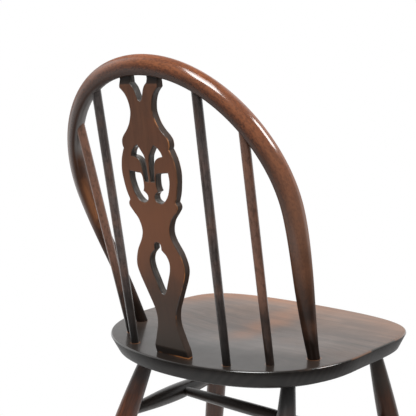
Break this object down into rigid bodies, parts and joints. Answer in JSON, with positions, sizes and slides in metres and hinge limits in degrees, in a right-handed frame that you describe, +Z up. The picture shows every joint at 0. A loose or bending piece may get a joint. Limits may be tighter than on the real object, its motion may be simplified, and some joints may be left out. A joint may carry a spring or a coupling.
{
  "type": "thistle back chair",
  "caption": "Bow-back wooden dining chair with a fret-sawn thistle splat, turned spindles, saddled seat and splayed turned legs on an H stretcher.",
  "frame": {"origin": "on the floor, in the middle of the chair's width and depth", "axes": "+Z up; -Y is the way the sitter faces; +X is the sitter's left"},
  "size_m": [0.5046, 0.4418, 0.864],
  "materials": {
    "seat_wood": "dark stain under gloss lacquer, worn lighter on the top",
    "bow_wood": "red-brown stain under gloss lacquer",
    "splat_wood": "red-brown stain under satin lacquer, dark sawn walls",
    "spindle_wood": "very dark stain under satin lacquer",
    "leg_wood": "very dark stain under gloss lacquer",
    "wedge_wood": "plain sawn wood"
  },
  "bodies": {
    "root": {"seat": "seat_wood", "bow": "bow_wood", "splat": "splat_wood", "spindle_inner_left": "spindle_wood", "spindle_inner_right": "spindle_wood", "spindle_outer_left": "spindle_wood", "spindle_outer_right": "spindle_wood", "leg_front_left": "leg_wood", "leg_front_right": "leg_wood", "leg_rear_left": "leg_wood", "leg_rear_right": "leg_wood", "side_stretcher_left": "leg_wood", "side_stretcher_right": "leg_wood", "cross_stretcher": "leg_wood", "bow_wedge_left": "wedge_wood", "bow_wedge_right": "wedge_wood"}
  },
  "joints": []
}
